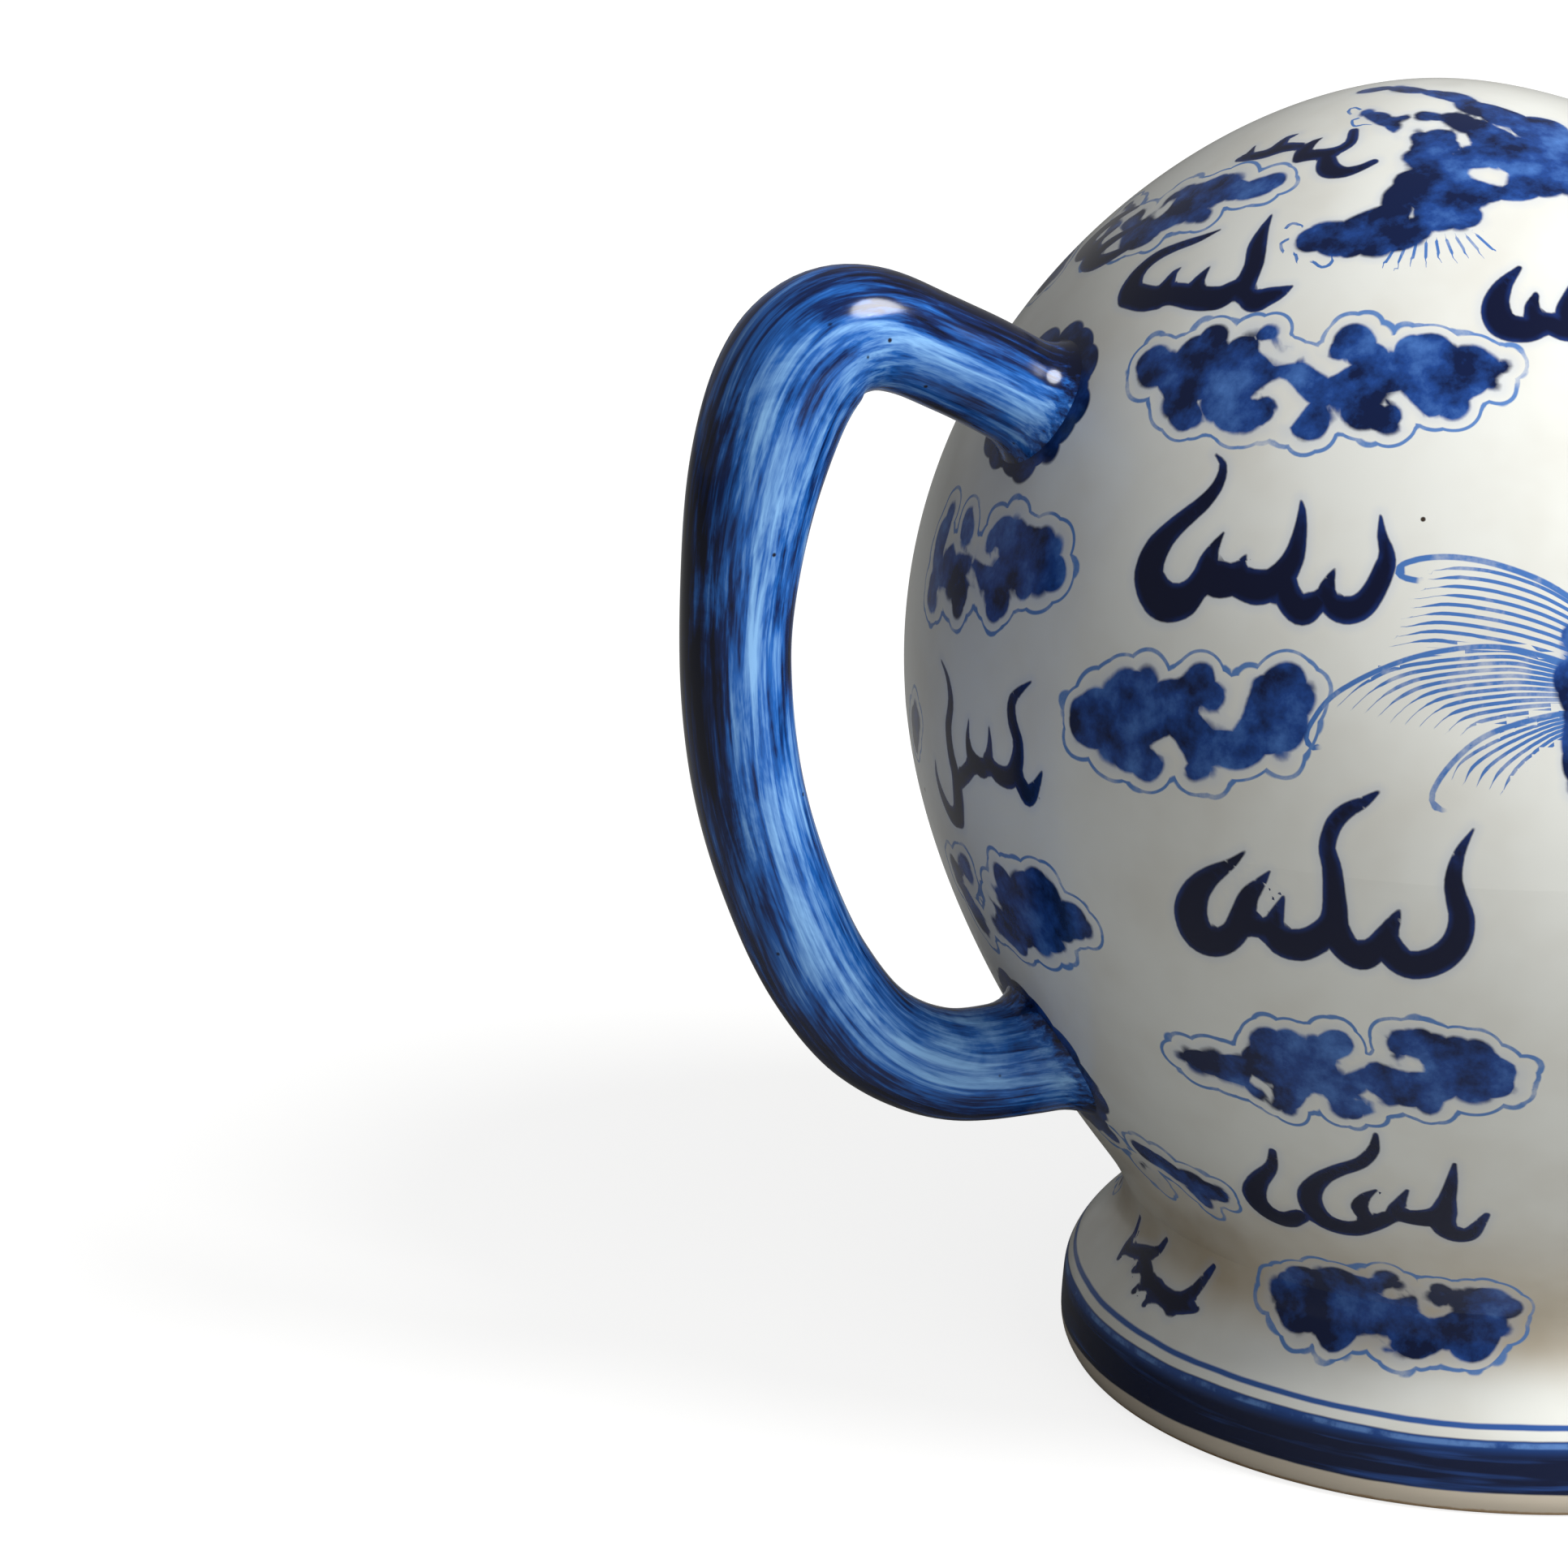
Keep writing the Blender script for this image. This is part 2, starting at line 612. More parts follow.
def combHairs(points, place, width, family, group):
    # for each vertex near a fan of hairs: its place across and along the fan
    count, shares = group["count"], np.linspace(0, 1, 25)
    first, last = (smoothStroke([(*p, 0) for p in group[k]], 8) for k in ("first", "last"))
    first, last = (np.stack([np.interp(shares, np.linspace(0, 1, len(g)), g[:, k]) for k in (0, 1)], -1)
                   for g in (first, last))
    lines = [onPot([(*p, 0) for p in first + (last - first) * j / (count - 1)]) for j in range(count)]
    near = nearLines(points, lines)
    if not len(near):
        return
    found = [sideOf(points[near], line) for line in lines]
    away = np.array([f[0] for f in found])
    closest = np.abs(away).argmin(0)
    rows = np.arange(len(near))
    here, along = away[closest, rows], np.array([f[1] for f in found])[closest, rows]
    # between two hairs the place runs evenly from one to the next
    towardsNext = np.sign(sideOf(lines[1][[len(lines[1]) // 2], :3], lines[0])[0][0])
    step = np.where(np.sign(here) == towardsNext, 1, -1)
    other = closest + step
    between = (other >= 0) & (other < len(lines))
    other = np.where(between, other, closest - step)
    otherAway = np.abs(away[other, rows])
    spacing = np.maximum(np.where(between, np.abs(here) + otherAway, np.abs(otherAway - np.abs(here))), 0.3)
    across = closest + 0.5 + step * np.abs(here) / spacing
    valid = np.abs(here) < np.where(between, 1.6, 0.9)
    chosen = near[valid]
    place[chosen] = np.stack([across[valid] + 40 * family, along[valid], np.full(valid.sum(), family)], -1)
    width[chosen] = group["halfWidth"] / spacing[valid]


def drawCurl(points, place, family, curl):
    # for each vertex near one fine line: the distance from it in half widths, and the place along it
    line = onPot([(*p, 0) for p in curl["line"]])
    near = nearLines(points, [line])
    if len(near):
        here, along = sideOf(points[near], line)
        valid = np.abs(here) < 1.3
        rows = np.stack([here / curl["halfWidth"], along, np.full(len(near), family)], -1)
        place[near[valid]] = rows[valid]


# the painting: what the brush drew, as strokes of (pixel x, pixel y, half width in mm) in the
# photograph's frame of 1932; a cloud has lobes of wash and the bare curls that cut into them
clouds = {
    "uphill cloud": {
        "lobes": [
            [(1350, 311, 1.2), (1369, 281, 1.4), (1396, 285, 2.2), (1430, 270, 2.4), (1466, 256, 2.3),
             (1500, 238, 2.2)],
            [(1392, 251, 1.1), (1400, 268, 1.4)],
            [(1446, 249, 1.7), (1458, 236, 1.9), (1476, 240, 2.0), (1489, 232, 2.0)],
            [(1500, 238, 2.2), (1508, 220, 1.7), (1527, 232, 2.0), (1546, 229, 1.7), (1564, 226, 1.6)],
            [(1396, 295, 2.0), (1416, 290, 1.6)], [(1478, 262, 1.9), (1460, 268, 1.5)],
        ],
        "curls": [
            [(1417, 259, .3), (1430, 260, .45), (1438, 252, .35)],
            [(1417, 258, .3), (1417, 247, .5), (1424, 236, .6), (1434, 229, .6)],
            [(1387, 265, .3), (1402, 259, .5), (1412, 246, .6), (1419, 236, .7)],
            [(1354, 301, .3), (1365, 292, .5), (1375, 297, .6), (1374, 313, .8)],
        ],
    },
    "broad cloud": {
        "lobes": [
            [(1419, 447, 1.9), (1432, 459, 2.4), (1458, 463, 3.0), (1458, 490, 2.4), (1465, 510, 1.7)],
            [(1489, 424, 2.1), (1470, 440, 2.2), (1500, 470, 3.4), (1524, 500, 2.6), (1550, 508, 1.7)],
            [(1553, 420, 2.0), (1535, 436, 2.4), (1562, 463, 3.2), (1595, 468, 3.2), (1612, 500, 2.6),
             (1612, 512, 2.5)],
            [(1652, 430, 1.6), (1670, 426, 2.3), (1690, 436, 2.2), (1670, 462, 3.2), (1620, 475, 3.4)],
            [(1743, 434, 2.3), (1765, 438, 2.2), (1740, 462, 3.2), (1700, 468, 3.2), (1681, 488, 2.8),
             (1700, 513, 2.1), (1718, 513, 1.5)],
            [(1735, 475, 3.2), (1779, 484, 2.9), (1775, 455, 2.8), (1804, 447, 2.0), (1824, 458, 2.2),
             (1845, 455, 1.6)],
            [(1797, 466, 2.6), (1835, 470, 1.6)],
        ],
        "curls": [
            [(1551, 486, .35), (1566, 479, .7), (1581, 486, .9), (1587, 502, .95), (1580, 517, .9),
             (1566, 527, .8)],
            [(1564, 428, .3), (1576, 437, .5), (1592, 435, .7), (1601, 424, .9), (1597, 410, 1.0)],
            [(1656, 447, .35), (1644, 452, .6), (1629, 450, .65), (1619, 440, .7), (1614, 426, .9),
             (1616, 412, 1.0)],
            [(1706, 498, .3), (1717, 493, .6), (1731, 498, .8), (1741, 513, .95), (1736, 527, .9)],
        ],
    },
    "small cloud by the handle": {
        "lobes": [
            [(1156, 690, 2.0), (1160, 665, 2.0), (1170, 640, 1.7)], [(1192, 643, 1.6), (1190, 658, 1.8)],
            [(1150, 742, 1.4), (1152, 715, 2.0), (1180, 690, 2.2), (1215, 705, 1.9), (1254, 695, 2.8)],
            [(1181, 737, 1.9), (1172, 715, 1.9)], [(1227, 736, 2.3), (1225, 715, 2.0)],
            [(1229, 664, 2.2), (1243, 656, 2.2), (1254, 680, 2.6), (1282, 680, 2.4), (1296, 694, 2.3),
             (1288, 705, 2.2), (1262, 716, 2.2)],
        ],
        "curls": [
            [(1178, 673, .3), (1189, 678, .5), (1202, 668, .6), (1206, 650, .65), (1202, 632, .7)],
            [(1226, 679, .3), (1215, 689, .6), (1208, 674, .7), (1211, 655, .65), (1222, 640, .6)],
            [(1188, 714, .3), (1199, 711, .55), (1203, 726, .7), (1202, 744, .7), (1205, 762, .8)],
        ],
    },
    "middle cloud": {
        "lobes": [
            [(1336, 888, 2.5), (1360, 880, 3.0), (1385, 873, 3.4), (1408, 860, 3.3), (1435, 870, 3.2)],
            [(1345, 893, 2.6), (1375, 905, 3.2), (1402, 922, 3.2), (1420, 905, 3.0), (1450, 900, 3.4),
             (1475, 915, 3.0)],
            [(1458, 868, 2.8), (1472, 850, 1.9), (1487, 846, 2.2), (1494, 856, 1.9)],
            [(1470, 932, 2.3), (1485, 932, 2.3)], [(1504, 910, 3.2), (1540, 912, 2.7), (1566, 908, 2.7)],
            [(1505, 895, 3.2), (1550, 880, 3.6), (1552, 858, 2.6), (1582, 848, 2.3), (1598, 851, 1.8),
             (1590, 872, 2.0), (1575, 908, 2.2)],
        ],
        "curls": [
            [(1430, 923, .35), (1440, 921, .6), (1449, 934, .75), (1443, 949, .8), (1432, 962, .9)],
            [(1485, 878, .35), (1500, 883, .7), (1518, 874, 1.1), (1527, 854, 1.2), (1521, 834, 1.1),
             (1508, 820, .9)],
        ],
    },
    "cloud at the edge": {
        "lobes": [[(1128, 884, 1.7), (1127, 897, 1.9), (1127, 912, 1.4)]], "curls": [],
    },
    "low cloud by the handle": {
        "lobes": [
            [(1176, 1068, 1.3), (1184, 1090, 1.8), (1198, 1116, 1.8), (1212, 1140, 1.6)],
            [(1190, 1068, 1.4), (1188, 1082, 1.6)],
            [(1236, 1081, 2.0), (1243, 1095, 2.4), (1265, 1098, 2.6), (1285, 1100, 2.4),
             (1303, 1124, 2.4), (1326, 1137, 2.0)],
            [(1226, 1106, 1.8), (1240, 1118, 2.4), (1270, 1128, 3.0), (1300, 1140, 2.6)],
            [(1232, 1144, 1.8), (1262, 1152, 2.3), (1292, 1156, 2.2), (1305, 1164, 1.5)],
            [(1256, 1163, 1.9), (1250, 1150, 2.2)],
        ],
        "curls": [
            [(1190, 1088, .3), (1200, 1091, .5), (1204, 1077, .6), (1196, 1060, .7)],
            [(1233, 1120, .3), (1222, 1104, .5), (1216, 1086, .65), (1218, 1066, .7)],
            [(1216, 1138, .35), (1226, 1152, .6), (1224, 1166, .7)],
        ],
    },
    "long low cloud": {
        "lobes": [
            [(1466, 1304, 1.9), (1490, 1311, 2.2), (1520, 1318, 2.2), (1548, 1338, 1.6)],
            [(1525, 1312, 2.0), (1550, 1308, 2.6), (1575, 1290, 2.4), (1590, 1296, 2.3),
             (1606, 1320, 3.2)],
            [(1581, 1358, 1.7), (1596, 1340, 2.0)],
            [(1631, 1294, 2.0), (1650, 1286, 1.7), (1662, 1293, 1.2)],
            [(1606, 1320, 3.2), (1638, 1325, 3.0), (1688, 1332, 2.7), (1731, 1340, 2.7),
             (1775, 1325, 3.0)],
            [(1645, 1350, 1.6), (1662, 1372, 1.4), (1678, 1370, 1.2)],
            [(1722, 1292, 2.0), (1742, 1287, 2.0), (1756, 1298, 2.4), (1783, 1296, 2.0),
             (1800, 1310, 2.4), (1830, 1306, 2.2), (1856, 1316, 1.8)],
            [(1763, 1358, 1.5), (1780, 1345, 2.0), (1819, 1338, 2.3), (1850, 1340, 1.6)],
        ],
        "curls": [
            [(1650, 1310, .35), (1667, 1307, .6), (1678, 1291, .75), (1668, 1271, .8), (1650, 1262, .6)],
            [(1744, 1311, .45), (1722, 1314, .6), (1703, 1303, .75), (1699, 1285, .75), (1708, 1268, .7)],
            [(1668, 1354, .35), (1688, 1352, .6), (1701, 1366, .7), (1693, 1384, .8)],
            [(1551, 1337, .3), (1562, 1343, .5), (1562, 1357, .6)],
        ],
    },
    "cloud at the waist": {
        "lobes": [
            [(1356, 1388, 1.2), (1372, 1400, 1.4)],
            [(1404, 1416, 1.5), (1425, 1428, 1.8), (1448, 1444, 2.0), (1474, 1458, 2.0),
             (1500, 1470, 1.5)],
            [(1408, 1434, 1.2), (1428, 1456, 1.3)], [(1486, 1484, 1.0), (1474, 1470, 1.4)],
        ],
        "curls": [
            [(1412, 1452, .3), (1424, 1446, .5), (1440, 1462, .6), (1446, 1480, .7)],
        ],
    },
    "cloud on the foot": {
        "lobes": [
            [(1577, 1601, 2.0), (1596, 1583, 2.2), (1616, 1574, 1.9), (1650, 1580, 2.4),
             (1680, 1584, 2.2), (1712, 1578, 1.7), (1722, 1584, 1.4)],
            [(1600, 1612, 2.7), (1642, 1606, 3.1), (1689, 1612, 3.2), (1730, 1626, 3.0),
             (1784, 1632, 3.0), (1830, 1632, 2.6)],
            [(1608, 1630, 1.6), (1626, 1626, 2.0)], [(1644, 1648, 1.9), (1660, 1630, 2.4)],
            [(1720, 1650, 1.9), (1748, 1662, 1.9), (1762, 1648, 2.0)],
            [(1800, 1655, 1.9), (1818, 1656, 1.8), (1844, 1640, 1.8)],
            [(1772, 1594, 1.6), (1794, 1604, 1.9), (1822, 1596, 1.8), (1850, 1612, 2.0)],
        ],
        "curls": [
            [(1715, 1594, .35), (1732, 1593, .65), (1744, 1580, .75), (1734, 1563, .7)],
            [(1786, 1608, .4), (1772, 1617, .65), (1754, 1607, .7), (1750, 1589, .7), (1760, 1572, .7)],
            [(1706, 1652, .4), (1694, 1660, .6), (1700, 1678, .8)],
        ],
    },
}
flames = {"beside the lion": [
    [(1527, 196, .5), (1540, 193, .8), (1560, 189, .9), (1581, 182, .95), (1601, 180, .7)],
    [(1546, 180, .1), (1540, 188, .5), (1536, 194, .7)],
    [(1599, 165, .1), (1586, 170, .45), (1574, 181, .9)],
    [(1601, 195, .8), (1615, 191, 1.0), (1632, 189, .95), (1650, 184, .75), (1664, 175, .65),
     (1668, 161, .55)],
    [(1628, 170, .15), (1617, 176, .55), (1606, 186, .95), (1602, 194, .85)],
    [(1634, 192, .9), (1637, 208, 1.25), (1654, 212, .95), (1675, 207, .6), (1693, 199, .45)],
], "under the uphill cloud": [
    [(1503, 283, .1), (1478, 294, .5), (1450, 304, .65), (1425, 316, .85), (1404, 334, 1.05),
     (1393, 353, 1.5), (1392, 363, 1.6)],
    [(1454, 330, .1), (1446, 337, .45), (1438, 350, .9), (1428, 366, 1.6)],
    [(1392, 363, 1.6), (1416, 368, 1.6), (1445, 362, 1.4), (1475, 367, 1.5), (1500, 367, 1.5),
     (1518, 358, 1.3), (1534, 350, 1.1)],
    [(1491, 328, .1), (1483, 337, .45), (1473, 352, 1.0), (1472, 364, 1.4)],
    [(1567, 264, .1), (1557, 282, .6), (1549, 302, 1.05), (1545, 325, 1.1), (1535, 348, 1.2),
     (1531, 362, 1.1)],
    [(1533, 362, 1.0), (1546, 371, 1.35), (1560, 366, 1.2), (1575, 361, .85), (1591, 353, .2)],
], "under the broad cloud": [
    [(1497, 559, .1), (1507, 573, .4), (1501, 596, .65), (1483, 619, .85), (1446, 651, 1.1),
     (1424, 678, 1.5), (1415, 710, 1.75),
     (1430, 739, 2.0), (1455, 741, 1.8), (1472, 726, 1.4), (1482, 712, 1.3)],
    [(1507, 657, .15), (1498, 671, .5), (1489, 690, 1.0), (1486, 708, 1.4)],
    [(1486, 708, 1.4), (1502, 714, 1.85), (1522, 716, 1.5), (1545, 723, 1.75), (1562, 722, 1.6),
     (1580, 708, 1.4),
     (1594, 686, 1.1), (1601, 658, .75), (1604, 633, .45), (1603, 615, .1)],
    [(1535, 684, .15), (1529, 694, .5), (1525, 708, 1.2)],
    [(1583, 720, 1.3), (1588, 738, 1.35), (1604, 752, 1.5), (1619, 744, 1.2), (1630, 736, .9)],
    [(1644, 702, .15), (1639, 713, .5), (1634, 730, .95), (1640, 745, 1.1), (1658, 752, 1.35),
     (1677, 747, 1.3), (1693, 728, 1.15),
     (1705, 702, 1.05), (1709, 684, .8), (1703, 660, .5), (1701, 634, .1)],
], "low by the handle": [
    [(1159, 813, .1), (1167, 835, .4), (1171, 865, .7), (1168, 896, .8), (1171, 927, .9),
     (1177, 954, 1.1), (1180, 981, 1.3),
     (1181, 1006, 1.3)],
    [(1152, 937, .15), (1154, 956, .45), (1161, 981, .8), (1172, 1004, 1.1), (1181, 1008, 1.2)],
    [(1179, 964, 1.0), (1190, 953, 1.0), (1200, 942, 1.0), (1211, 948, 1.0), (1217, 936, .8),
     (1219, 917, .45), (1218, 894, .1)],
    [(1193, 887, .1), (1192, 912, .5), (1197, 935, 1.0), (1209, 947, 1.1)],
    [(1216, 936, .8), (1228, 953, 1.1), (1244, 958, 1.2), (1252, 942, 1.1), (1254, 915, .85),
     (1247, 890, .8), (1246, 866, .7),
     (1254, 853, .5), (1270, 840, .12)],
    [(1250, 952, 1.1), (1258, 966, .95), (1266, 981, 1.15), (1276, 969, .65), (1283, 952, .2)],
], "the largest, under the belly": [
    [(1533, 1050, .15), (1517, 1064, .55), (1491, 1080, 1.05), (1473, 1100, 1.5), (1467, 1127, 1.95),
     (1477, 1153, 2.0),
     (1500, 1161, 1.6), (1520, 1150, 1.35), (1531, 1127, 1.3), (1539, 1104, 1.0), (1552, 1089, .6),
     (1564, 1074, .12)],
    [(1528, 1138, 1.3), (1546, 1142, 1.2), (1565, 1144, 1.1), (1571, 1133, .9), (1576, 1119, .55),
     (1581, 1106, .2)],
    [(1568, 1146, 1.2), (1578, 1160, 1.7), (1601, 1165, 1.75), (1625, 1155, 1.5), (1643, 1136, 1.4),
     (1644, 1108, 1.2),
     (1641, 1070, 1.0), (1635, 1045, .85), (1642, 1018, .85), (1658, 1000, .8), (1681, 988, .55),
     (1698, 976, .2)],
    [(1646, 1140, 1.3), (1655, 1165, 1.5), (1675, 1178, 1.6), (1694, 1170, 1.35), (1706, 1155, 1.1),
     (1716, 1138, .75), (1723, 1124, .3)],
    [(1708, 1158, 1.3), (1722, 1182, 1.5), (1745, 1190, 1.55), (1775, 1181, 1.5), (1795, 1160, 1.4),
     (1801, 1132, 1.25),
     (1794, 1105, 1.05), (1791, 1080, .85), (1799, 1050, .55), (1816, 1021, .1)],
], "over the foot": [
    [(1568, 1419, .45), (1566, 1438, .75), (1550, 1456, 1.15), (1546, 1475, 1.5), (1561, 1493, 1.5),
     (1584, 1503, 1.3), (1603, 1498, 1.0)],
    [(1695, 1398, .3), (1692, 1417, .65), (1676, 1433, .8), (1647, 1443, .85), (1626, 1454, 1.0),
     (1614, 1470, 1.3), (1617, 1488, 1.5),
     (1633, 1505, 1.5), (1663, 1514, 1.25), (1690, 1509, 1.1), (1711, 1500, 1.0)],
    [(1695, 1467, .2), (1682, 1475, .6), (1675, 1488, .95), (1684, 1502, 1.0)],
    [(1734, 1467, .2), (1726, 1480, .6), (1720, 1495, 1.0), (1747, 1501, 1.3), (1775, 1498, 1.5),
     (1783, 1478, .95), (1789, 1454, .6),
     (1792, 1435, .25)],
    [(1776, 1500, 1.4), (1781, 1515, 1.35), (1796, 1522, 1.25), (1813, 1519, .95), (1832, 1497, .35)],
], "on the foot": [
    [(1405, 1500, .3), (1398, 1521, .5), (1388, 1536, .8), (1379, 1549, .4)],
    [(1387, 1538, .7), (1408, 1543, .9), (1426, 1542, .6), (1438, 1527, .3)],
    [(1408, 1545, .8), (1410, 1559, .9), (1398, 1564, .5)],
    [(1412, 1556, .9), (1413, 1577, .9), (1398, 1590, .5)],
    [(1413, 1577, .9), (1426, 1590, 1.1), (1411, 1606, .5)],
    [(1426, 1590, 1.0), (1446, 1604, 1.2), (1468, 1594, .9), (1484, 1576, .6), (1496, 1560, .3)],
    [(1446, 1604, 1.1), (1442, 1619, .6)], [(1453, 1610, 1.0), (1474, 1613, .5)],
], "past the edge of the picture": [
    [(1872, 330, .3), (1852, 352, .9), (1843, 378, 1.4), (1852, 400, 1.6), (1880, 406, 1.5),
     (1905, 398, 1.3), (1930, 406, 1.4),
     (1960, 404, 1.2), (1980, 386, .9), (1994, 360, .3)],
    [(1893, 362, .3), (1888, 380, .8), (1894, 398, 1.2)],
    [(1946, 340, .3), (1936, 362, .7), (1930, 386, 1.1), (1938, 402, 1.2)],
]}
tailedLion = {
    "lobes": [
        [(1945, 842, 2.6), (1990, 822, 3.8), (2050, 806, 4.8), (2120, 800, 5.2), (2190, 800, 5.4),
         (2250, 796, 5.0)],
        [(1938, 786, 1.5), (1962, 798, 2.3), (1985, 812, 3.0)], [(1944, 886, 1.4), (1966, 872, 2.2)],
        [(2240, 790, 5.0), (2285, 762, 5.2), (2315, 744, 5.2)],
        [(2300, 728, 4.2), (2335, 735, 4.4), (2360, 752, 3.2)],
        [(2330, 776, 2.2), (2360, 784, 1.7)], [(2262, 716, 1.8), (2252, 738, 2.2), (2240, 760, 2.4)],
        [(2250, 842, 2.2), (2272, 822, 2.6), (2296, 806, 2.6)], [(2290, 690, 1.7), (2312, 688, 1.8)],
        [(2235, 840, 3.2), (2270, 880, 2.6), (2296, 915, 2.0), (2308, 948, 1.8), (2330, 956, 1.5)],
        [(2190, 846, 3.0), (2185, 890, 2.4), (2178, 930, 2.0), (2186, 960, 1.8), (2210, 966, 1.4)],
        [(1985, 850, 3.6), (1965, 900, 2.8), (1950, 934, 2.0), (1962, 968, 1.8), (1988, 975, 1.4)],
        [(2050, 850, 3.4), (2076, 896, 2.6), (2088, 934, 2.0), (2076, 968, 1.8), (2100, 976, 1.4)],
    ],
    "curls": [
        [(2334, 742, .4), (2342, 744, .4)], [(2268, 724, .4), (2281, 736, .55), (2276, 752, .5)],
        [(2254, 768, .4), (2272, 779, .55), (2270, 798, .4)], [(2212, 820, .4), (2221, 848, .5)],
        [(2010, 836, .4), (2022, 864, .5)], [(2080, 784, .4), (2120, 776, .5), (2160, 778, .4)],
    ],
}
lion = {
    "lobes": [
        [(1684, 140, 1.0), (1700, 145, 1.0), (1712, 156, 1.0), (1719, 167, .7)],
        [(1708, 148, .8), (1731, 144, .3)],
        [(1681, 112, .7), (1712, 108, 1.2), (1735, 110, 1.2), (1774, 116, 1.4), (1812, 128, 1.8),
         (1850, 142, 2.4), (1900, 160, 3.4)],
        [(1757, 143, 1.0), (1797, 150, 1.7), (1830, 165, 2.4), (1870, 190, 3.6), (1920, 190, 3.6)],
        [(1751, 166, 1.5), (1774, 174, 2.4), (1751, 190, 1.6), (1768, 208, 2.6), (1745, 222, 2.0),
         (1797, 222, 2.6), (1830, 185, 2.4)],
        [(1768, 208, 2.6), (1750, 240, 2.6), (1770, 258, 2.6), (1800, 267, 2.2)],
        [(1740, 240, 2.4), (1706, 270, 2.3), (1684, 284, 2.4), (1650, 294, 2.3), (1622, 294, 2.0)],
        [(1735, 284, 2.1), (1712, 296, 1.8), (1670, 304, 1.7)],
        [(1820, 243, 1.6), (1850, 236, 2.2), (1900, 220, 3.6), (1960, 205, 3.4)],
        [(1950, 220, 3.0), (1975, 250, 2.4), (1985, 280, 1.9), (2012, 294, 1.4)],
        [(1975, 190, 2.6), (2010, 170, 1.8), (2040, 172, 1.2)],
    ],
    "curls": [
        [(1735, 128, .9), (1760, 128, .9), (1785, 134, .5)],
        [(1818, 215, .9), (1838, 218, 1.1), (1852, 214, .6)],
    ],
}
# hairs fan out between a first and a last line, each given by points
hairs = [
    {"count": 9, "first": [(1766, 703), (1800, 700), (1846, 706), (1900, 724), (1950, 752)],
     "last": [(1712, 797), (1766, 789), (1846, 800), (1900, 812), (1950, 826)], "halfWidth": .17},
    {"count": 10, "first": [(1645, 873), (1681, 842), (1735, 820), (1846, 809), (1900, 818), (1950, 832)],
     "last": [(1800, 906), (1815, 893), (1846, 884), (1900, 876), (1950, 872)], "halfWidth": .18},
    {"count": 5, "first": [(1788, 962), (1802, 938), (1846, 912), (1900, 892), (1950, 880)],
     "last": [(1850, 978), (1862, 956), (1880, 936), (1915, 910), (1950, 896)], "halfWidth": .16},
    {"count": 9, "first": [(1722, 300), (1708, 322)], "last": [(1816, 286), (1838, 306)],
     "halfWidth": .14},
]
# fine lone lines: the curled edges of the hair, and toes and whiskers
curls = [
    {"line": [(1751, 716), (1731, 712), (1722, 704), (1731, 694), (1760, 687), (1800, 687), (1846, 696),
              (1900, 716), (1950, 746)],
     "halfWidth": .28},
    {"line": [(1629, 920), (1615, 921), (1609, 908), (1616, 890), (1639, 860), (1681, 834), (1735, 812),
              (1790, 800), (1846, 797),
              (1900, 808), (1950, 824)], "halfWidth": .24},
    {"line": [(1781, 998), (1770, 997), (1764, 986), (1768, 970), (1785, 945), (1812, 919), (1846, 900),
              (1900, 884), (1950, 876)],
     "halfWidth": .26},
    {"line": [(1605, 279), (1594, 275), (1584, 280), (1586, 291), (1596, 293)], "halfWidth": .16},
    {"line": [(1588, 294), (1578, 300), (1582, 311), (1594, 312), (1600, 305)], "halfWidth": .16},
    {"line": [(1596, 312), (1600, 324), (1612, 326), (1618, 318)], "halfWidth": .16},
    {"line": [(1618, 322), (1628, 329), (1640, 325), (1642, 318)], "halfWidth": .16},
    {"line": [(1677, 135), (1668, 132), (1661, 137), (1668, 143)], "halfWidth": .15},
    {"line": [(1675, 145), (1666, 148), (1668, 155), (1677, 154)], "halfWidth": .15},
]


unpainted = 3.5   # mm, the furthest distance that is kept
wallSkin = 1.5   # mm inside the outline that still count as the outside


def paintPiece(piece):
    # the painting as distances in mm from each vertex to the edge of what the brush drew
    points = vertexPlaces(piece)
    outside = outsidePot(points) > -wallSkin
    spots = points[outside]
    count = len(spots)
    wash, ring, ink, pad = (np.full(count, unpainted) for _ in range(4))
    inkMiddle = np.full((count, 4), unpainted)
    for name, cloud in paintedClouds.items():
        for turn in turns.get(name, allRound):
            union, cut = np.full(count, unpainted), np.full(count, unpainted)
            brush(spots, union, [turnedStroke(s, turn) for s in cloud["lobes"]])
            brush(spots, cut, [turnedStroke(s, turn) for s in cloud["curls"]], 2)
            wash = np.minimum(wash, np.maximum(union, -cut))
            if name in clouds:
                ring = np.minimum(ring, union)
    for name, strokes in paintedFlames.items():
        for turn in turns.get(name, allRound):
            brush(spots, ink, [turnedStroke(s, turn) for s in strokes], middles=inkMiddle)
    brush(spots, pad, rootStrokes())
    hairPlace, hairWidth, curlPlace = np.zeros((count, 3)), np.zeros(count), np.zeros((count, 3))
    for family, group in enumerate(hairs, 1):
        combHairs(spots, hairPlace, hairWidth, family, group)
    for family, curl in enumerate(curls, 1):
        drawCurl(spots, curlPlace, family, curl)
    keep(piece, "outside", outside.astype(float))
    for name, values, elsewhere in (
        ("wash", wash, unpainted), ("ring", ring, unpainted), ("ink", ink, unpainted),
        ("pad", pad, unpainted), ("inkAway", inkMiddle[:, :3], unpainted), ("inkWidth", inkMiddle[:, 3], 0),
        ("hairPlace", hairPlace, 0), ("hairWidth", hairWidth, 0), ("curlPlace", curlPlace, 0),
    ):
        whole = np.full((len(points),) + values.shape[1:], float(elsewhere))
        whole[outside] = values
        keep(piece, name, whole)


